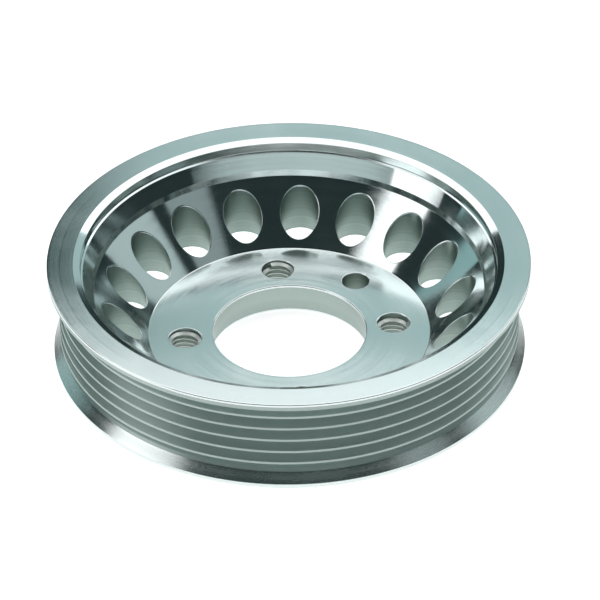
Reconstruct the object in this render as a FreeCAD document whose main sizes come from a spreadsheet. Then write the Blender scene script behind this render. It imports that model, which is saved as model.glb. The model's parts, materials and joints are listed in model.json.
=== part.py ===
import FreeCAD, Part
import math
import os

# Belt pulley of a supercharger drive: a grooved rim, a cone web with lightening holes and a flat hub
# plate, all turned from one aluminium billet, with a steel wire thread insert in each bolt hole.
# Three bolt holes are at right angles on one circle. The fourth, on -Y, is set further out. Frame:
# origin on the bore's axis at the hub's back face, +Z towards the open side of the dish, +X through the
# first bolt hole. Lengths are in millimetres, angles in degrees.

SIZES = {
    # rim
    "rim_radius": 62.0,
    "rim_top": 31.0,
    "rim_foot": 4.0,
    "foot_radius": 60.8,
    "foot_band_top": 5.3,
    "flange_band_foot": 29.2,
    "edge_break": 0.3,
    # belt seat: multi-rib grooves of the PK section
    "crest_radius": 59.1,
    "rib_shoulder": 28.5,
    "rib_pitch": 3.56,
    "groove_count": 6,
    "groove_angle": 40.0,
    "groove_depth": 2.9,
    "root_round": 0.5,
    "crest_round": 0.25,
    "lowest_groove": 8.92,
    "relief_radius": 56.7,
    "relief_foot": 8.9,
    "relief_brow": 10.2,
    "cutter_overlap": 1.0,
    # mouth of the dish
    "mouth_radius": 55.2,
    "mouth_bevel": 0.75,
    "wall_radius": 53.4,
    "step_height": 28.0,
    "step_drop": 0.2,
    "step_radius": 52.8,
    "wall_foot_radius": 50.6,
    "wall_foot": 23.8,
    # cone web and its holes
    "cone_head_radius": 50.1,
    "cone_head": 22.25,
    "cone_foot_radius": 36.35,
    "web_back": 6.6,
    "lip_radius": 55.0,
    "lightening_circle_radius": 43.2,
    "lightening_hole_radius": 5.0,
    "lightening_hole_count": 18,
    # hub plate
    "hub_face": 8.5,
    "hub_boss_radius": 37.5,
    "bore_radius": 19.75,
    "register_radius": 20.4,
    "register_depth": 2.4,
    "bolt_circle_radius": 27.0,
    "bolt_hole_radius": 4.2,
    "even_bolt_hole_count": 3,
    "even_bolt_hole_span": 180.0,
    "offset_bolt_radius": 28.5,
    "locating_hole_radius": 3.5,
    "locating_circle_radius": 27.6,
    "locating_hole_angle": 45.0,
    "hole_edge_break": 0.25,
    # thread inserts: the coil's outside fits the drilled hole, its inside is the M8 thread's crest
    "insert_inner_radius": 3.4,
    "insert_foot": 0.6,
    "insert_head": 8.0,
    "insert_lead_in": 0.25,
}


def in_numbers(formula):
    """The value of a sum or difference of named sizes, such as 'rim_radius - edge_break'."""
    total = 0.0
    sign = 1.0
    for word in formula.split():
        if word in "+-":
            sign = 1.0 if word == "+" else -1.0
        else:
            total += sign * SIZES[word]
    return total


def in_cells(formula):
    """The same sum or difference, as an expression over the spreadsheet's cells."""
    return " ".join(word if word in "+-" else "Sizes." + word for word in formula.split())


def make_sheet(doc):
    """Write every driving size into the spreadsheet, one aliased cell each."""
    sheet = doc.addObject("Spreadsheet::Sheet", "Sizes")
    for row, (alias, value) in enumerate(SIZES.items(), start=1):
        sheet.set(f"A{row}", alias.replace("_", " "))
        sheet.set(f"B{row}", str(value))
        sheet.setAlias(f"B{row}", alias)
    doc.recompute()
    return sheet


def origin_feature(body, role):
    """The body's own origin plane or axis of that role."""
    return next(item for item in body.Origin.OriginFeatures if item.Role == role)


def new_body(doc, name):
    body = doc.addObject("PartDesign::Body", name)
    body.Label = name
    return body


def new_sketch(body, name, plane):
    sketch = body.newObject("Sketcher::SketchObject", name)
    sketch.AttachmentSupport = [(origin_feature(body, plane), "")]
    sketch.MapMode = "FlatFace"
    return sketch


def bind(sketch, constraint, value, expression):
    """Add a driving constraint and tie its datum to the spreadsheet."""
    index = sketch.addConstraint(constraint(value))
    sketch.setExpression(f"Constraints[{index}]", expression)


def bind_distance(sketch, direction, geometry, point, formula):
    """Tie a point's horizontal or vertical distance from the sketch's origin to the named sizes."""
    import Sketcher
    bind(sketch,
         lambda value: Sketcher.Constraint(direction, -1, 1, geometry, point, value),
         in_numbers(formula), in_cells(formula))


def draw_outline(sketch, corners):
    """Closed outline of straight lines. A corner is (radius formula, height formula), and a height of
    None puts it on the sketch's horizontal axis."""
    import Sketcher
    places = [FreeCAD.Vector(in_numbers(radius), 0.0 if height is None else in_numbers(height), 0)
              for radius, height in corners]
    lines = [sketch.addGeometry(Part.LineSegment(start, end), False)
             for start, end in zip(places, places[1:] + places[:1])]
    for line, following in zip(lines, lines[1:] + lines[:1]):
        sketch.addConstraint(Sketcher.Constraint("Coincident", line, 2, following, 1))
    for line, (radius, height) in zip(lines, corners):
        bind_distance(sketch, "DistanceX", line, 1, radius)
        if height is None:
            sketch.addConstraint(Sketcher.Constraint("PointOnObject", line, 1, -1))
        else:
            bind_distance(sketch, "DistanceY", line, 1, height)


def revolve(body, kind, name, sketch):
    """A full turn of the sketch about the body's Z axis: kind is Revolution or Groove."""
    feature = body.newObject("PartDesign::" + kind, name)
    feature.Profile = sketch
    feature.ReferenceAxis = (sketch, ["V_Axis"])
    feature.Angle = 360.0
    sketch.Visibility = False
    return feature


def drill(body, name, radius, across, along):
    """A hole right through along Z. across and along are the centre's distances from the Y and the X
    axis, each a (value, expression) pair, or None for a centre on that axis."""
    import Sketcher
    sketch = new_sketch(body, name + "_sketch", "XY_Plane")
    centre = FreeCAD.Vector(across[0] if across else 0.0, along[0] if along else 0.0, 0)
    circle = sketch.addGeometry(
        Part.Circle(centre, FreeCAD.Vector(0, 0, 1), SIZES[radius]), False)
    bind(sketch, lambda value: Sketcher.Constraint("Radius", circle, value),
         SIZES[radius], in_cells(radius))
    for direction, place, axis in (("DistanceX", across, -2), ("DistanceY", along, -1)):
        if place:
            bind(sketch, lambda value: Sketcher.Constraint(direction, -1, 1, circle, 3, value), *place)
        else:
            sketch.addConstraint(Sketcher.Constraint("PointOnObject", circle, 3, axis))
    pocket = body.newObject("PartDesign::Pocket", name)
    pocket.Profile = sketch
    pocket.Type = "ThroughAll"
    pocket.Reversed = True
    sketch.Visibility = False
    return pocket


def repeat_round(body, name, feature, count, span=None):
    """Repeat a hole evenly round the body's Z axis, over a full turn or over the named span."""
    pattern = body.newObject("PartDesign::PolarPattern", name)
    pattern.Originals = [feature]
    pattern.Axis = (origin_feature(body, "Z_Axis"), [""])
    pattern.Angle = 360.0
    if span:
        pattern.setExpression("Angle", in_cells(span) + " * 1 deg")
    pattern.setExpression("Occurrences", in_cells(count))
    body.Tip = pattern
    return pattern


def turned_blank(body):
    """The whole section of the billet as it is turned, before the belt grooves and the holes."""
    sketch = new_sketch(body, "blank_sketch", "XZ_Plane")
    draw_outline(sketch, [
        ("hub_boss_radius - edge_break", None),
        ("hub_boss_radius", "edge_break"),
        ("hub_boss_radius", "web_back"),
        ("lip_radius", "web_back"),
        ("lip_radius", "rim_foot"),
        ("foot_radius", "rim_foot"),
        ("foot_radius", "foot_band_top"),
        ("relief_radius", "relief_foot"),
        ("crest_radius", "relief_brow"),
        ("crest_radius", "rib_shoulder"),
        ("rim_radius", "flange_band_foot"),
        ("rim_radius", "rim_top - edge_break"),
        ("rim_radius - edge_break", "rim_top"),
        ("mouth_radius", "rim_top"),
        ("wall_radius", "rim_top - mouth_bevel"),
        ("wall_radius", "step_height"),
        ("step_radius", "step_height - step_drop"),
        ("wall_foot_radius", "wall_foot"),
        ("cone_head_radius", "cone_head"),
        ("cone_foot_radius", "hub_face"),
        ("bore_radius + edge_break", "hub_face"),
        ("bore_radius", "hub_face - edge_break"),
        ("bore_radius", "register_depth"),
        ("register_radius", "register_depth"),
        ("register_radius", None),
    ])
    return revolve(body, "Revolution", "turned_blank", sketch)


def belt_groove(body):
    """The lowest belt groove: straight flanks at the belt's angle, a round root and rounded crests."""
    import Sketcher
    lean = math.radians(SIZES["groove_angle"] / 2)
    root_radius = SIZES["root_round"]
    crest_round = SIZES["crest_round"]
    crest = SIZES["crest_radius"]
    height = SIZES["lowest_groove"]
    root_centre = crest - SIZES["groove_depth"] + root_radius
    outer = crest + SIZES["cutter_overlap"]
    # where a flank, carried on straight, would meet the crests' cylinder, above the groove's middle
    half_width = (crest - root_centre) * math.tan(lean) + root_radius / math.cos(lean)
    crest_centre = half_width + crest_round * (1 - math.sin(lean)) / math.cos(lean)

    sketch = new_sketch(body, "groove_sketch", "XZ_Plane")
    axis = FreeCAD.Vector(0, 0, 1)
    quarter = math.pi / 2

    def place(radius, offset):
        return FreeCAD.Vector(radius, height + offset, 0)

    def flank(side):
        inner_end = place(root_centre - root_radius * math.sin(lean), side * root_radius * math.cos(lean))
        outer_end = place(crest - crest_round + crest_round * math.sin(lean),
                          side * (crest_centre - crest_round * math.cos(lean)))
        return sketch.addGeometry(Part.LineSegment(inner_end, outer_end), False)

    upper_flank = flank(+1)
    lower_flank = flank(-1)
    root = sketch.addGeometry(Part.ArcOfCircle(
        Part.Circle(place(root_centre, 0), axis, root_radius), quarter + lean, 3 * quarter - lean), False)
    upper_crest = sketch.addGeometry(Part.ArcOfCircle(
        Part.Circle(place(crest - crest_round, crest_centre), axis, crest_round),
        lean - quarter, 0), False)
    lower_crest = sketch.addGeometry(Part.ArcOfCircle(
        Part.Circle(place(crest - crest_round, -crest_centre), axis, crest_round),
        0, quarter - lean), False)
    closing = [place(crest, crest_centre), place(outer, crest_centre),
               place(outer, -crest_centre), place(crest, -crest_centre)]
    upper_side, outer_side, lower_side = [
        sketch.addGeometry(Part.LineSegment(start, end), False)
        for start, end in zip(closing, closing[1:])]

    tie = Sketcher.Constraint
    sketch.addConstraint([
        tie("Tangent", upper_flank, 1, root, 1),
        tie("Tangent", lower_flank, 1, root, 2),
        tie("Tangent", upper_flank, 2, upper_crest, 1),
        tie("Tangent", lower_flank, 2, lower_crest, 2),
        tie("Horizontal", upper_crest, 3, upper_crest, 2),
        tie("Horizontal", lower_crest, 3, lower_crest, 1),
        tie("Coincident", upper_crest, 2, upper_side, 1),
        tie("Coincident", upper_side, 2, outer_side, 1),
        tie("Coincident", outer_side, 2, lower_side, 1),
        tie("Coincident", lower_side, 2, lower_crest, 1),
        tie("Horizontal", upper_side),
        tie("Vertical", outer_side),
        tie("Horizontal", lower_side),
        tie("Equal", upper_crest, lower_crest),
    ])
    bind(sketch, lambda value: tie("Radius", root, value), root_radius, in_cells("root_round"))
    bind(sketch, lambda value: tie("Radius", upper_crest, value), crest_round, in_cells("crest_round"))
    bind(sketch, lambda value: tie("Angle", upper_flank, value), lean, "Sizes.groove_angle * 0.5 deg")
    bind(sketch, lambda value: tie("Angle", lower_flank, value), -lean, "Sizes.groove_angle * -0.5 deg")
    bind_distance(sketch, "DistanceX", root, 3, "crest_radius - groove_depth + root_round")
    bind_distance(sketch, "DistanceY", root, 3, "lowest_groove")
    bind_distance(sketch, "DistanceX", upper_crest, 2, "crest_radius")
    bind_distance(sketch, "DistanceX", lower_crest, 1, "crest_radius")
    bind_distance(sketch, "DistanceX", outer_side, 1, "crest_radius + cutter_overlap")
    return revolve(body, "Groove", "belt_groove", sketch)


def repeat_grooves(body, groove):
    """Repeat the belt groove up the rim at the belt's pitch."""
    pattern = body.newObject("PartDesign::LinearPattern", "belt_grooves")
    pattern.Originals = [groove]
    pattern.Direction = (origin_feature(body, "Z_Axis"), [""])
    pattern.setExpression("Length", "Sizes.rib_pitch * (Sizes.groove_count - 1)")
    pattern.setExpression("Occurrences", in_cells("groove_count"))
    body.Tip = pattern


def break_hole_edges(body):
    """Chamfer both mouths of the bolt holes and of the locating hole."""
    base = body.Tip
    radii = (SIZES["bolt_hole_radius"], SIZES["locating_hole_radius"])
    heights = (0.0, SIZES["hub_face"])
    tolerance = 0.001
    names = []
    for number, edge in enumerate(base.Shape.Edges, start=1):
        if not isinstance(edge.Curve, Part.Circle):
            continue
        round_fits = any(abs(edge.Curve.Radius - radius) < tolerance for radius in radii)
        height_fits = any(abs(edge.Curve.Center.z - height) < tolerance for height in heights)
        if round_fits and height_fits:
            names.append(f"Edge{number}")
    chamfer = body.newObject("PartDesign::Chamfer", "hole_edge_breaks")
    chamfer.Base = (base, names)
    chamfer.setExpression("Size", in_cells("hole_edge_break"))
    body.Tip = chamfer


def sized(alias, sign=1):
    """A named size as a (value, expression) pair."""
    return sign * SIZES[alias], ("-" if sign < 0 else "") + in_cells(alias)


def locating_place():
    """Centre of the locating hole, as (value, expression) pairs."""
    turn = math.radians(SIZES["locating_hole_angle"])
    radius = SIZES["locating_circle_radius"]
    angle = in_cells("locating_hole_angle") + " * 1 deg"
    circle = in_cells("locating_circle_radius")
    return ((radius * math.cos(turn), f"{circle} * cos({angle})"),
            (radius * math.sin(turn), f"{circle} * sin({angle})"))


def make_pulley_body(doc):
    body = new_body(doc, "pulley_body")
    turned_blank(body)
    doc.recompute()
    repeat_grooves(body, belt_groove(body))
    doc.recompute()
    lightening = drill(body, "lightening_hole", "lightening_hole_radius",
                       sized("lightening_circle_radius"), None)
    doc.recompute()
    repeat_round(body, "lightening_holes", lightening, "lightening_hole_count")
    doc.recompute()
    bolt = drill(body, "bolt_hole", "bolt_hole_radius", sized("bolt_circle_radius"), None)
    doc.recompute()
    repeat_round(body, "even_bolt_holes", bolt, "even_bolt_hole_count", "even_bolt_hole_span")
    doc.recompute()
    drill(body, "offset_bolt_hole", "bolt_hole_radius", None, sized("offset_bolt_radius", -1))
    doc.recompute()
    drill(body, "locating_hole", "locating_hole_radius", *locating_place())
    doc.recompute()
    break_hole_edges(body)
    return body


def make_thread_insert(doc, number, across, along):
    """Sleeve of a wire thread insert, wound into its bolt hole and set a little below both faces. across
    and along are expressions for the hole's centre."""
    body = new_body(doc, f"thread_insert_{number}")
    sketch = new_sketch(body, f"insert_sketch_{number}", "XZ_Plane")
    draw_outline(sketch, [
        ("insert_inner_radius + insert_lead_in", "insert_foot"),
        ("bolt_hole_radius", "insert_foot"),
        ("bolt_hole_radius", "insert_head"),
        ("insert_inner_radius + insert_lead_in", "insert_head"),
        ("insert_inner_radius", "insert_head - insert_lead_in"),
        ("insert_inner_radius", "insert_foot + insert_lead_in"),
    ])
    revolve(body, "Revolution", f"insert_sleeve_{number}", sketch)
    if across:
        body.setExpression("Placement.Base.x", across)
    if along:
        body.setExpression("Placement.Base.y", along)
    return body


def check_document(doc, bodies):
    """Stop if any feature failed or any sub-part isn't one sound solid."""
    failed = [item.Name for item in doc.Objects if {"Invalid", "Error"} & set(item.State)]
    if failed:
        raise RuntimeError("failed features: " + ", ".join(failed))
    for body in bodies:
        shape = body.Shape
        if shape.isNull() or not shape.isValid() or len(shape.Solids) != 1:
            raise RuntimeError("not one sound solid: " + body.Label)


def check_cuts(body):
    """Stop if a groove or a hole took nothing away from the blank."""
    volume = None
    for feature in body.Group:
        if not feature.isDerivedFrom("PartDesign::Feature"):
            continue
        if volume is not None and feature.Shape.Volume >= volume:
            raise RuntimeError("cut nothing: " + feature.Name)
        volume = feature.Shape.Volume
        print(f"{feature.Name}: {volume:.0f} mm3")


def main():
    doc = FreeCAD.newDocument("supercharger_drive_pulley")
    make_sheet(doc)
    pulley_body = make_pulley_body(doc)
    even = in_cells("bolt_circle_radius")
    offset = in_cells("offset_bolt_radius")
    places = [(even, None), (None, even), ("-" + even, None), (None, "-" + offset)]
    inserts = [make_thread_insert(doc, number, *place) for number, place in enumerate(places, start=1)]
    doc.recompute()
    bodies = [pulley_body] + inserts
    check_document(doc, bodies)
    check_cuts(pulley_body)
    os.makedirs("parts", exist_ok=True)
    for body in bodies:
        body.Shape.exportStep(f"parts/{body.Label}.step")
        box = body.Shape.BoundBox
        print(f"{body.Label}: {box.XLength:.2f} x {box.YLength:.2f} x {box.ZLength:.2f} mm")


main()
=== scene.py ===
import json
import math
from itertools import product

import bpy
from mathutils import Matrix, Vector


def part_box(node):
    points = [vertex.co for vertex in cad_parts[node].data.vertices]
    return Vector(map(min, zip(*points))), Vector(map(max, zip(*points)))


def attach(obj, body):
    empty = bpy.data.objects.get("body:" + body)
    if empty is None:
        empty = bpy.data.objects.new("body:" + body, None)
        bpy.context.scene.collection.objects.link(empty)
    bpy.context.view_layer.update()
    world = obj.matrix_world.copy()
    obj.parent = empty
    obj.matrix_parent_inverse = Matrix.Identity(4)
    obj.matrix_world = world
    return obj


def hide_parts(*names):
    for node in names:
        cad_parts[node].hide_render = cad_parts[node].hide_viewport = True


# A belt pulley of a supercharger drive, turned from one aluminium billet: a grooved rim, a cone web with
# lightening holes and a hub plate whose bolt holes hold steel wire thread inserts. It lies with its open
# side up on a pale floor. The pulley's axis is Z. Shape sizes are in millimetres and become metres when
# a mesh is made; light and camera sizes are in metres.

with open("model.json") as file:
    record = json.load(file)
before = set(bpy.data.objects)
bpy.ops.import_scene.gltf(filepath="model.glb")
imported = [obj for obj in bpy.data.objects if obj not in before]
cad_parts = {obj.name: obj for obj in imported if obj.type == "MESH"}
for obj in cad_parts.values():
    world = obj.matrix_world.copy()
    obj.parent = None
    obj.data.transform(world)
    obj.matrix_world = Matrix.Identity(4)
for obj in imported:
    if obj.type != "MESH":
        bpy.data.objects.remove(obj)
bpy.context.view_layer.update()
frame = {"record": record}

MM = 0.001
MOUNTS = {mount["name"]: mount for mount in frame["record"]["mounts"]}

# ---- sizes, in millimetres -------------------------------------------------------------------------

_, BODY_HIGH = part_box("pulley_body")
INSERT_LOW, INSERT_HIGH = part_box("thread_insert_1")

RIM_RADIUS = BODY_HIGH.x / MM
RIM_TOP = BODY_HIGH.z / MM
RIM_FOOT = 4.0
FOOT_RADIUS = RIM_RADIUS - 1.2
FOOT_BAND_TOP = 5.3
FLANGE_BAND_FOOT = 29.2

CREST_RADIUS = 59.1
RIB_SHOULDER = 28.5
RIB_PITCH = 3.56
GROOVE_COUNT = 6
GROOVE_LEAN = math.radians(20)
GROOVE_DEPTH = 2.9
ROOT_ROUND = 0.5
CREST_ROUND = 0.25
LOWEST_GROOVE = 8.92
FOOT_RELIEF = (57.7, 8.02)

MOUTH_RADIUS = 55.2
MOUTH_BEVEL = 0.75
WALL_RADIUS = 53.4
STEP_HEIGHT = 28.0
STEP_DROP = 0.2
STEP_RADIUS = 52.8
WALL_FOOT_RADIUS = 50.6
WALL_FOOT = 23.8
CONE_HEAD_RADIUS = 50.1
CONE_HEAD = 22.25
CONE_FOOT_RADIUS = 36.35
WEB_BACK = 6.6
LIP_RADIUS = 55.0

HUB_FACE = MOUNTS["hub_front"]["pos_m"][2] / MM
BOSS_RADIUS = 37.5
BORE_RADIUS = MOUNTS["bore"]["dims"]["r_mm"]
REGISTER_RADIUS = MOUNTS["register"]["dims"]["r_mm"]
REGISTER_DEPTH = MOUNTS["register"]["dims"]["length_mm"]

BOLT_HOLES = [MOUNTS[f"bolt_hole_{number}"] for number in range(1, 5)]
BOLT_HOLE_RADIUS = (INSERT_HIGH.y - INSERT_LOW.y) / 2 / MM
LOCATING_HOLE = MOUNTS["locating_hole"]
LIGHTENING_CIRCLE = 43.2
LIGHTENING_RADIUS = 5.0
LIGHTENING_COUNT = 18

# Roundings of the turned corners and of the holes' mouths.
EDGE_ROUND = 0.3
RELIEF_ROUND = 0.3
CONE_FOOT_ROUND = 0.4
FLANGE_ROUND = 0.2
MOUTH_ROUND = 0.15
SHOULDER_ROUND = 0.1
REGISTER_ROUND = 0.1
HOLE_ROUND = 0.25

# ---- mesh made from exact surfaces -----------------------------------------------------------------

# The pulley's material slots, in order. The drilled, bored and grooved slots hold darker copies of the same
# aluminium: painted shade.
TURNED, DRILLED_PAINTED_SHADE, BORED_PAINTED_SHADE, GROOVED_PAINTED_SHADE, FLANGE = range(5)


def at(radius, azimuth, height):
    """A point in millimetres at that distance from the pulley's axis; azimuth in degrees."""
    turn = math.radians(azimuth)
    return Vector((radius * math.cos(turn), radius * math.sin(turn), height))


class Shell:
    """Faces of a closed body, with the true surface normal kept at every corner of every face. Corners
    within MERGE millimetres of each other are one point, so that surfaces made apart share their edge."""

    KEY_DIGITS = 4
    MERGE = 0.00002

    def __init__(self):
        self.points = []
        self.known = {}
        self.faces = []
        self.normals = []
        self.finishes = []

    def corner(self, point):
        spreads = ({round(value - self.MERGE, self.KEY_DIGITS), round(value + self.MERGE, self.KEY_DIGITS)}
                   for value in point)
        for key in product(*spreads):
            if key in self.known:
                return self.known[key]
        self.points.append(point * MM)
        self.known[tuple(round(value, self.KEY_DIGITS) for value in point)] = len(self.points) - 1
        return len(self.points) - 1

    def face(self, points, normals, finish=TURNED):
        """Add one face. Its winding is set so that it looks the way its normals do."""
        across = (points[2] - points[0]).cross(points[-1] - points[1])
        if across.dot(sum(normals, Vector())) < 0:
            points, normals = points[::-1], normals[::-1]
        self.faces.append([self.corner(point) for point in points])
        self.normals.extend(normals)
        self.finishes.append(finish)

    def band(self, low, high, finish=TURNED):
        """Faces between two rows of (point, normal) pairs of the same length."""
        for (a, a_normal), (b, b_normal), (c, c_normal), (d, d_normal) in zip(
                low, low[1:], high[1:], high):
            self.face([a, b, c, d], [a_normal, b_normal, c_normal, d_normal], finish)

    def make(self, name, materials):
        mesh = bpy.data.meshes.new(name)
        mesh.from_pydata(self.points, [], self.faces)
        for material in materials:
            mesh.materials.append(material)
        mesh.polygons.foreach_set("material_index", self.finishes)
        mesh.polygons.foreach_set("use_smooth", [True] * len(self.faces))
        mesh.update()
        mesh.normals_split_custom_set([normal.normalized() for normal in self.normals])
        piece = bpy.data.objects.new(name, mesh)
        bpy.context.scene.collection.objects.link(piece)
        return piece


# ---- surfaces of revolution ------------------------------------------------------------------------

# One ring has a point at every whole degree, and closes on itself. A rounding turns by at most ARC_STEP
# from one strip to the next.
AZIMUTHS = range(0, 361)
ARC_STEP = math.radians(18)


def outline(corners):
    """Strips of a turned outline. Each corner is (radius, height, rounding); the metal is on the right of
    the way the corners run. A strip is ((start, start normal), (end, end normal)) in the radius-height
    plane."""
    places = [Vector(corner[:2]) for corner in corners]
    strips = []
    leave = places[0]
    for index in range(1, len(corners)):
        here = places[index]
        along = (here - places[index - 1]).normalized()
        side = Vector((-along.y, along.x))
        if index == len(corners) - 1 or corners[index][2] == 0:
            strips.append(((leave, side), (here, side)))
            leave = here
            continue
        onward = (places[index + 1] - here).normalized()
        next_side = Vector((-onward.y, onward.x))
        turn = math.atan2(along.x * onward.y - along.y * onward.x, along.dot(onward))
        rounding = corners[index][2]
        reach = rounding * math.tan(abs(turn) / 2)
        start = here - along * reach
        bulge = -rounding if turn < 0 else rounding
        centre = start + side * bulge
        strips.append(((leave, side), (start, side)))
        steps = max(2, math.ceil(abs(turn) / ARC_STEP))
        before, before_side = start, side
        for step in range(1, steps + 1):
            angle = turn * step / steps
            arc_side = Matrix.Rotation(angle, 2) @ side
            point = centre - arc_side * bulge
            strips.append(((before, before_side), (point, arc_side)))
            before, before_side = point, arc_side
        leave = here + onward * reach
    return strips


def ring(point, side):
    """One row of (point, normal) pairs, right round the axis."""
    return [(at(point.x, azimuth % 360, point.y), at(side.x, azimuth, side.y)) for azimuth in AZIMUTHS]


def revolve(shell, corners, finish=TURNED):
    for start, end in outline(corners):
        shell.band(ring(*start), ring(*end), finish)


# ---- flat and conical faces with holes in them -----------------------------------------------------


class Face:
    """A flat or conical face: height is base plus slope times the distance from the axis. up is +1 where
    the metal lies below it and -1 where it lies above."""

    def __init__(self, base, slope, up):
        self.base = base
        self.slope = slope
        self.up = up

    def height(self, x, y):
        return self.base + self.slope * math.hypot(x, y)

    def pair(self, x, y):
        """The point of the face above (x, y), and its normal."""
        radius = math.hypot(x, y)
        lean = -self.slope * self.up / radius
        return Vector((x, y, self.height(x, y))), Vector((x * lean, y * lean, self.up)).normalized()


def blend_positions(start, end, steps):
    return [start + (end - start) * step / steps for step in range(steps + 1)]


def plain_sector(shell, face, start, end, inner, outer, rows):
    """A sector of the face with no hole in it."""
    grid = []
    for radius in blend_positions(inner, outer, rows):
        places = [at(radius, azimuth % 360, 0) for azimuth in range(start, end + 1)]
        grid.append([face.pair(place.x, place.y) for place in places])
    for low, high in zip(grid, grid[1:]):
        shell.band(low, high)


def sector_edge(start, end, inner, outer, rows):
    """Points round the edge of a sector, in the plan view, one more than its number of sides."""
    azimuths = range(start, end + 1)
    radii = blend_positions(inner, outer, rows)
    edge = [at(inner, azimuth % 360, 0) for azimuth in azimuths]
    edge += [at(radius, end % 360, 0) for radius in radii[1:]]
    edge += [at(outer, azimuth % 360, 0) for azimuth in reversed(azimuths[:-1])]
    edge += [at(radius, start % 360, 0) for radius in reversed(radii[:-1])]
    return edge


# Where the rows of faces round a hole lie, as shares of the way from its mouth to the sector's edge.
LAYERS = (0.0, 0.08, 0.2, 0.4, 0.65, 1.0)
ROUND_STEPS = 4


def hole_rings(face, centre, directions, radius):
    """Rings of the rounded mouth of a hole, from the face down to the hole's wall."""
    rings = []
    for step in range(ROUND_STEPS + 1):
        turn = math.pi / 2 * step / ROUND_STEPS
        row = []
        for direction in directions:
            place = centre + direction * (radius + HOLE_ROUND * (1 - math.sin(turn)))
            point, normal = face.pair(place.x, place.y)
            point.z -= face.up * HOLE_ROUND * (1 - math.cos(turn))
            row.append((point, (normal * math.cos(turn) - direction * math.sin(turn)).normalized()))
        rings.append(row)
    return rings


def holed_sector(shell, face, edge, centre, directions, radius):
    """A sector of the face round one hole, with the hole's rounded mouth. Gives back the mouth's last
    ring, where the wall starts."""
    rings = hole_rings(face, centre, directions, radius)
    mouth = [centre + direction * (radius + HOLE_ROUND) for direction in directions]
    rows = []
    for share in LAYERS:
        places = [inner.lerp(outer, share) for inner, outer in zip(mouth, edge)]
        rows.append([face.pair(place.x, place.y) for place in places])
    for low, high in zip(rows, rows[1:]):
        shell.band(low, high)
    for low, high in zip(rings, rings[1:]):
        shell.band(low, high)
    return rings[-1]


def drilled_sector(shell, faces, spans, start, end, rows, centre, radius):
    """One sector of the front and the back face with a hole right through both. faces and spans are the
    two faces and their (inner, outer) radii, front first."""
    edges = [sector_edge(start, end, inner, outer, rows) for inner, outer in spans]
    directions = [(place - centre).normalized() for place in edges[0]]
    mouths = [holed_sector(shell, face, edge, centre, directions, radius)
              for face, edge in zip(faces, edges)]
    shell.band(mouths[0], mouths[1], DRILLED_PAINTED_SHADE)


# ---- the pulley ------------------------------------------------------------------------------------

# The sectors with holes stop EDGE_STRIP short of a face's own edges, where the turned outlines take up.
# Most changes of finish come as far from a corner.
EDGE_STRIP = 0.6
# Steps from the inner to the outer side of a sector, and half the angle of a bolt hole's sector.
HUB_ROWS = 18
WEB_ROWS = 16
BOLT_SECTOR_HALF = 20
# How far along the slope below the lowest groove the grooves' finish reaches.
RELIEF_SHARE = 0.2


def hole_centre(mount):
    """Where a hole's axis meets the plan view, in millimetres."""
    across, along, _ = mount["pos_m"]
    return Vector((across / MM, along / MM, 0))


def belt_seat():
    """Corners of the belt grooves, from the top one down."""
    depth_of_point = GROOVE_DEPTH + ROOT_ROUND * (1 / math.sin(GROOVE_LEAN) - 1)
    half_width = depth_of_point * math.tan(GROOVE_LEAN)
    corners = []
    for number in reversed(range(GROOVE_COUNT)):
        height = LOWEST_GROOVE + number * RIB_PITCH
        corners.append((CREST_RADIUS, height + half_width, CREST_ROUND))
        corners.append((CREST_RADIUS - depth_of_point, height, ROOT_ROUND))
        corners.append((CREST_RADIUS, height - half_width, CREST_ROUND))
    corners.pop()
    return corners


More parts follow.
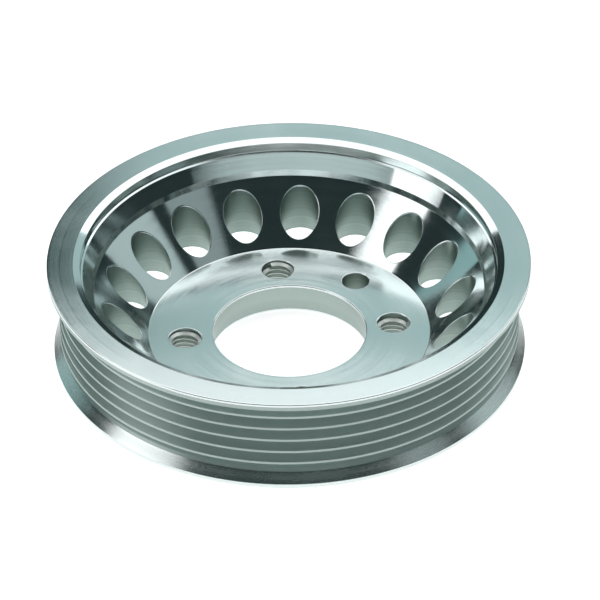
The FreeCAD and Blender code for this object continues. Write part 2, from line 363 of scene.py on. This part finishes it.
def make_pulley(materials):
    shell = Shell()
    cone_slope = (CONE_HEAD - HUB_FACE) / (CONE_HEAD_RADIUS - CONE_FOOT_RADIUS)
    cone = Face(HUB_FACE - cone_slope * CONE_FOOT_RADIUS, cone_slope, 1)
    hub_front = Face(HUB_FACE, 0, 1)
    hub_back = Face(0, 0, -1)
    web_back = Face(WEB_BACK, 0, -1)

    cone_span = (CONE_FOOT_RADIUS + EDGE_STRIP, CONE_HEAD_RADIUS - EDGE_STRIP)
    web_span = (BOSS_RADIUS + EDGE_STRIP, LIP_RADIUS - EDGE_STRIP)
    front_span = (BORE_RADIUS + EDGE_STRIP, CONE_FOOT_RADIUS - EDGE_STRIP)
    back_span = (REGISTER_RADIUS + EDGE_STRIP, BOSS_RADIUS - EDGE_STRIP)

    def on(face, radius):
        return (radius, face.height(radius, 0), 0)

    band_split = (RIM_RADIUS, RIM_TOP - EDGE_STRIP, 0)
    foot_split = (*Vector(FOOT_RELIEF).lerp(Vector((FOOT_RADIUS, FOOT_BAND_TOP)), RELIEF_SHARE), 0)
    lip_split = (LIP_RADIUS + EDGE_STRIP, RIM_FOOT, 0)
    bore_top_split = (BORE_RADIUS, HUB_FACE - EDGE_STRIP, 0)
    bore_foot_split = (REGISTER_RADIUS, EDGE_STRIP, 0)

    revolve(shell, [
        on(cone, cone_span[1]),
        (CONE_HEAD_RADIUS, CONE_HEAD, MOUTH_ROUND),
        (WALL_FOOT_RADIUS, WALL_FOOT, MOUTH_ROUND),
        (STEP_RADIUS, STEP_HEIGHT - STEP_DROP, MOUTH_ROUND),
        (WALL_RADIUS, STEP_HEIGHT, MOUTH_ROUND),
        (WALL_RADIUS, RIM_TOP - MOUTH_BEVEL, MOUTH_ROUND),
        (MOUTH_RADIUS, RIM_TOP, MOUTH_ROUND),
        (RIM_RADIUS, RIM_TOP, EDGE_ROUND),
        band_split,
    ])
    revolve(shell, [
        band_split,
        (RIM_RADIUS, FLANGE_BAND_FOOT, FLANGE_ROUND),
        (CREST_RADIUS, RIB_SHOULDER, SHOULDER_ROUND),
        *belt_seat(),
        (*FOOT_RELIEF, RELIEF_ROUND),
        foot_split,
    ], GROOVED_PAINTED_SHADE)
    revolve(shell, [
        foot_split,
        (FOOT_RADIUS, FOOT_BAND_TOP, EDGE_ROUND),
        (FOOT_RADIUS, RIM_FOOT, EDGE_ROUND),
        lip_split,
    ], FLANGE)
    revolve(shell, [
        lip_split,
        (LIP_RADIUS, RIM_FOOT, EDGE_ROUND),
        (LIP_RADIUS, WEB_BACK, EDGE_ROUND),
        on(web_back, web_span[1]),
    ])
    revolve(shell, [
        on(web_back, web_span[0]),
        (BOSS_RADIUS, WEB_BACK, EDGE_ROUND),
        (BOSS_RADIUS, 0, EDGE_ROUND),
        on(hub_back, back_span[1]),
    ])
    revolve(shell, [
        on(hub_back, back_span[0]),
        (REGISTER_RADIUS, 0, EDGE_ROUND),
        bore_foot_split,
    ])
    revolve(shell, [
        bore_foot_split,
        (REGISTER_RADIUS, REGISTER_DEPTH, REGISTER_ROUND),
        (BORE_RADIUS, REGISTER_DEPTH, REGISTER_ROUND),
        bore_top_split,
    ], BORED_PAINTED_SHADE)
    revolve(shell, [
        bore_top_split,
        (BORE_RADIUS, HUB_FACE, EDGE_ROUND),
        on(hub_front, front_span[0]),
    ])
    revolve(shell, [
        on(hub_front, front_span[1]),
        (CONE_FOOT_RADIUS, HUB_FACE, CONE_FOOT_ROUND),
        on(cone, cone_span[0]),
    ])

    web_pitch = 360 // LIGHTENING_COUNT
    for number in range(LIGHTENING_COUNT):
        start = number * web_pitch - web_pitch // 2
        centre = at(LIGHTENING_CIRCLE, number * web_pitch, 0)
        drilled_sector(shell, (cone, web_back), (cone_span, web_span), start, start + web_pitch,
                       WEB_ROWS, centre, LIGHTENING_RADIUS)

    hub_faces = (hub_front, hub_back)
    hub_spans = (front_span, back_span)
    bolt_pitch = 360 // len(BOLT_HOLES)
    for number, mount in enumerate(BOLT_HOLES):
        middle = number * bolt_pitch
        drilled_sector(shell, hub_faces, hub_spans, middle - BOLT_SECTOR_HALF, middle + BOLT_SECTOR_HALF,
                       HUB_ROWS, hole_centre(mount), BOLT_HOLE_RADIUS)
        between = (middle + BOLT_SECTOR_HALF, middle + bolt_pitch - BOLT_SECTOR_HALF)
        if number == 0:
            drilled_sector(shell, hub_faces, hub_spans, *between, HUB_ROWS,
                           hole_centre(LOCATING_HOLE), LOCATING_HOLE["dims"]["r_mm"])
            continue
        for face, (inner, outer) in zip(hub_faces, hub_spans):
            plain_sector(shell, face, *between, inner, outer, HUB_ROWS)
    return shell.make("turned_pulley", materials)


# ---- thread inserts --------------------------------------------------------------------------------

THREAD_PITCH = 1.25
WIRE_FLAT = 0.09
WIRE_FLANK = math.radians(30)
WIRE_BED = 0.12
COIL_STEPS = 72
# Each coil starts at its own azimuth, in degrees.
FIRST_COIL_START = 37
COIL_START_STEP = 100


def make_insert(name, centre, start_turn, material):
    """The coil of a wire thread insert: wire of diamond section whose outer half is bedded in the hole's
    wall, wound at the thread's pitch. centre is in millimetres."""
    inner = BOLT_HOLES[0]["dims"]["r_mm"]
    outer = BOLT_HOLE_RADIUS + WIRE_BED
    half_base = WIRE_FLAT + (outer - inner) * math.tan(WIRE_FLANK)
    low = INSERT_LOW.z / MM + half_base
    high = INSERT_HIGH.z / MM - half_base
    steps = round((high - low) / THREAD_PITCH * COIL_STEPS)
    section = [(inner, -WIRE_FLAT), (inner, WIRE_FLAT), (outer, half_base), (outer, -half_base)]
    slope = math.cos(WIRE_FLANK)
    rise = math.sin(WIRE_FLANK)
    sides = [(-1, 0), (-rise, slope), (1, 0), (-rise, -slope)]
    shell = Shell()

    def place(step, radius, offset):
        turn = start_turn + 360 * step / COIL_STEPS
        return centre + at(radius, turn, low + THREAD_PITCH * step / COIL_STEPS + offset)

    def facing(step, side):
        return at(side[0], start_turn + 360 * step / COIL_STEPS, side[1])

    for side, (first, second) in zip(sides, zip(section, section[1:] + section[:1])):
        rows = [[(place(step, *corner), facing(step, side)) for step in range(steps + 1)]
                for corner in (first, second)]
        shell.band(*rows)
    for step, way in ((0, -1), (steps, 1)):
        end = at(1, start_turn + 360 * step / COIL_STEPS + 90, 0) * way
        shell.face([place(step, *corner) for corner in section], [end] * len(section))
    return shell.make(name, [material])


# ---- materials -------------------------------------------------------------------------------------


class Nodes:
    """Short hand for building one material's node tree."""

    def __init__(self, name):
        self.material = bpy.data.materials.new(name)
        self.material.use_nodes = True
        self.tree = self.material.node_tree
        self.shader = self.tree.nodes["Principled BSDF"]

    def add(self, kind, inputs=(), **settings):
        node = self.tree.nodes.new(kind)
        for key, value in settings.items():
            setattr(node, key, value)
        for key, value in dict(inputs).items():
            self.feed(node.inputs[key], value)
        return node

    def feed(self, socket, value):
        if isinstance(value, bpy.types.NodeSocket):
            self.tree.links.new(value, socket)
        else:
            socket.default_value = value

    def math(self, operation, *values):
        return self.add("ShaderNodeMath", enumerate(values), operation=operation).outputs[0]

    def noise(self, vector, scale, detail=2.0, roughness=0.5):
        return self.add("ShaderNodeTexNoise", {
            "Vector": vector, "Scale": scale, "Detail": detail, "Roughness": roughness}).outputs[0]

    def ramp(self, value, low, high, low_to, high_to):
        return self.add("ShaderNodeMapRange", {
            "Value": value, "From Min": low, "From Max": high, "To Min": low_to, "To Max": high_to}
        ).outputs[0]

    def mix(self, share, first, second):
        """Blend of two colours. A colour mix has its own sockets, which go by number."""
        return self.add("ShaderNodeMix", {0: share, 6: first, 7: second}, data_type="RGBA").outputs[2]


def cut_on_a_lathe(name, dull, bright, roughness, anisotropy):
    """Turned aluminium: fine rings of tool marks round the axis, which draw reflections out across the
    rings, and faint handling smudges. dull and bright are the two ends of its colour, and roughness
    holds the two ends of its roughness."""
    nodes = Nodes(name)
    shader = nodes.shader
    where = nodes.add("ShaderNodeTexCoord").outputs["Object"]
    split = nodes.add("ShaderNodeSeparateXYZ", {0: where})
    squares = nodes.math("ADD", nodes.math("MULTIPLY", split.outputs[0], split.outputs[0]),
                         nodes.math("MULTIPLY", split.outputs[1], split.outputs[1]))
    radius = nodes.math("SQRT", squares)
    turned = nodes.add("ShaderNodeCombineXYZ", {0: radius, 1: split.outputs[2]}).outputs[0]
    fine = nodes.noise(turned, 5000.0, 2.0)
    coarse = nodes.noise(turned, 900.0, 3.0)
    smudge = nodes.noise(where, 55.0, 4.0, 0.6)
    nodes.feed(shader.inputs["Base Color"], nodes.mix(smudge, dull, bright))
    shader.inputs["Metallic"].default_value = 1.0
    marks = nodes.math("ADD", nodes.ramp(coarse, 0.3, 0.7, *roughness),
                       nodes.ramp(smudge, 0.4, 0.7, 0.0, 0.04))
    nodes.feed(shader.inputs["Roughness"], marks)
    shader.inputs["Anisotropic"].default_value = anisotropy
    shader.inputs["Anisotropic Rotation"].default_value = 0.25
    tangent = nodes.add("ShaderNodeTangent", direction_type="RADIAL", axis="Z").outputs[0]
    nodes.feed(shader.inputs["Tangent"], tangent)
    bump = nodes.add("ShaderNodeBump", {"Strength": 0.12, "Distance": 0.00002, "Height": fine})
    nodes.feed(shader.inputs["Normal"], bump.outputs[0])
    return nodes.material


def turned_aluminium():
    """The bright finish of the rim's top, the dish, the hub and the back."""
    return cut_on_a_lathe("turned_aluminium", (0.76, 0.84, 0.84, 1), (0.84, 0.89, 0.89, 1),
                          (0.07, 0.12), 0.85)


def bored_aluminium():
    """The bore's wall, duller than the turned faces: rougher, and darker in colour, which is painted shade
    inside the bore.
    """
    return cut_on_a_lathe("bored_aluminium", (0.36, 0.44, 0.41, 1), (0.46, 0.54, 0.51, 1),
                          (0.28, 0.36), 0.80)


def grooved_aluminium():
    """The upper flange's edge and the belt grooves, the dullest of the turned surfaces: the roughest, and
    darker in colour than the dish, which is painted shade in the grooves.
    """
    return cut_on_a_lathe("grooved_aluminium", (0.44, 0.52, 0.50, 1), (0.54, 0.62, 0.60, 1),
                          (0.36, 0.44), 0.90)


def flange_aluminium():
    """The lower flange, rougher than the dish."""
    return cut_on_a_lathe("flange_aluminium", (0.76, 0.83, 0.82, 1), (0.84, 0.89, 0.88, 1),
                          (0.20, 0.28), 0.80)


def drilled_aluminium():
    """Walls of drilled holes: rougher, with tool marks stacked along the hole, and much darker in colour
    than the turned faces, which is painted shade inside the holes.
    """
    nodes = Nodes("drilled_aluminium")
    shader = nodes.shader
    where = nodes.add("ShaderNodeTexCoord").outputs["Object"]
    split = nodes.add("ShaderNodeSeparateXYZ", {0: where})
    stacked = nodes.add("ShaderNodeCombineXYZ", {2: split.outputs[2]}).outputs[0]
    marks = nodes.noise(stacked, 1300.0, 3.0)
    # The stripes between the two colours are the tool marks; that both colours are so dark is painted
    # shade.
    tint = nodes.mix(marks, (0.16, 0.21, 0.19, 1), (0.44, 0.52, 0.48, 1))
    nodes.feed(shader.inputs["Base Color"], tint)
    shader.inputs["Metallic"].default_value = 1.0
    nodes.feed(shader.inputs["Roughness"], nodes.ramp(marks, 0.3, 0.7, 0.34, 0.48))
    bump = nodes.add("ShaderNodeBump", {"Strength": 0.4, "Distance": 0.00008, "Height": marks})
    nodes.feed(shader.inputs["Normal"], bump.outputs[0])
    return nodes.material


def drawn_wire():
    """Steel wire of the thread inserts."""
    nodes = Nodes("drawn_wire")
    shader = nodes.shader
    where = nodes.add("ShaderNodeTexCoord").outputs["Object"]
    grain = nodes.noise(where, 2500.0, 3.0)
    tint = nodes.mix(grain, (0.66, 0.72, 0.69, 1), (0.78, 0.83, 0.80, 1))
    nodes.feed(shader.inputs["Base Color"], tint)
    shader.inputs["Metallic"].default_value = 1.0
    nodes.feed(shader.inputs["Roughness"], nodes.ramp(grain, 0.3, 0.7, 0.28, 0.42))
    return nodes.material


def pale_floor():
    """A white sweep that is lit from behind as well, so that shadows on it stay faint."""
    nodes = Nodes("pale_floor")
    nodes.shader.inputs["Base Color"].default_value = (0.93, 0.93, 0.93, 1)
    nodes.shader.inputs["Roughness"].default_value = 0.9
    nodes.shader.inputs["Specular IOR Level"].default_value = 0.0
    nodes.shader.inputs["Emission Color"].default_value = (1, 1, 1, 1)
    nodes.shader.inputs["Emission Strength"].default_value = 0.75
    return nodes.material


# ---- studio ----------------------------------------------------------------------------------------

CENTRE = Vector((0, 0, BODY_HIGH.z))


def towards(azimuth, elevation):
    """Unit vector from the pulley; azimuth 0 is +X, 90 is +Y."""
    lift = math.radians(elevation)
    flat = at(math.cos(lift), azimuth, 0)
    return Vector((flat.x, flat.y, math.sin(lift)))


def softbox(name, azimuth, elevation, distance, width, height, radiance, colour):
    """A soft rectangular light that faces the pulley, seen in its reflections but not by the camera. Its
    power follows from its size, so that radiance is how bright it looks."""
    lamp = bpy.data.lights.new(name, "AREA")
    lamp.shape = "RECTANGLE"
    lamp.size = width
    lamp.size_y = height
    lamp.energy = radiance * math.pi * width * height
    lamp.color = colour
    light = bpy.data.objects.new(name, lamp)
    way = towards(azimuth, elevation)
    light.location = CENTRE + way * distance
    light.rotation_euler = way.to_track_quat("Z", "Y").to_euler()
    light.visible_camera = False
    bpy.context.scene.collection.objects.link(light)


def make_studio():
    floor_mesh = bpy.data.meshes.new("floor")
    reach = 6.0
    floor_mesh.from_pydata([(-reach, -reach, 0), (reach, -reach, 0), (reach, reach, 0), (-reach, reach, 0)],
                           [], [(0, 1, 2, 3)])
    floor_mesh.materials.append(pale_floor())
    floor = bpy.data.objects.new("floor", floor_mesh)
    bpy.context.scene.collection.objects.link(floor)

    world = bpy.data.worlds.new("studio")
    world.use_nodes = True
    backing = world.node_tree.nodes["Background"]
    backing.inputs["Color"].default_value = (0.60, 1.0, 1.0, 1)
    backing.inputs["Strength"].default_value = 0.03
    bpy.context.scene.world = world

    softbox("overhead_softbox", 81, 66, 1.0, 1.4, 1.05, 1.3, (1, 1, 1))
    softbox("left_softbox", 188, 28, 0.9, 0.5, 0.6, 1.5, (1, 1, 1))
    softbox("left_back_softbox", 145, 10, 0.9, 0.46, 0.34, 0.4, (0.62, 1, 1))
    softbox("right_softbox", 15, 27, 0.9, 0.48, 0.4, 0.5, (0.85, 1, 1))
    softbox("right_front_softbox", -24, 43, 0.9, 0.3, 0.34, 0.28, (0.85, 1, 1))
    softbox("back_softbox", 66, 30, 0.9, 0.64, 0.32, 0.5, (0.76, 1, 1))
    softbox("front_reflector", -100, 18, 1.0, 2.8, 0.36, 0.6, (0.85, 1, 0.98))


def make_camera():
    """A long lens looking down at the pulley's open side, a little round from the bolt holes' line."""
    azimuth, elevation, distance = -96.03, 35.69, 1.55
    aim_right, aim_down = 0.00278, 0.0104
    roll = 0.0097
    data = bpy.data.cameras.new("camera")
    data.lens = 363.6
    data.sensor_width = 36.0
    data.clip_start, data.clip_end = 0.05, 50.0
    camera = bpy.data.objects.new("camera", data)
    back = towards(azimuth, elevation)
    camera.location = CENTRE + back * distance
    upright = back.to_track_quat("Z", "Y").to_matrix()
    target = CENTRE + upright.col[0] * aim_right - upright.col[1] * aim_down
    aimed = (camera.location - target).to_track_quat("Z", "Y").to_matrix()
    camera.rotation_euler = (aimed @ Matrix.Rotation(-roll, 3, "Z")).to_euler()
    bpy.context.scene.collection.objects.link(camera)
    bpy.context.scene.camera = camera


# ---- put together ----------------------------------------------------------------------------------


def main():
    pulley = make_pulley([turned_aluminium(), drilled_aluminium(), bored_aluminium(),
                          grooved_aluminium(), flange_aluminium()])
    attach(pulley, "root")
    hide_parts("pulley_body")

    wire = drawn_wire()
    for number, mount in enumerate(BOLT_HOLES, start=1):
        start_turn = FIRST_COIL_START + COIL_START_STEP * (number - 1)
        coil = make_insert(f"wire_coil_{number}", hole_centre(mount), start_turn, wire)
        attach(coil, "root")
        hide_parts(f"thread_insert_{number}")

    make_studio()
    make_camera()
    bpy.context.scene.view_settings.view_transform = "Standard"


main()
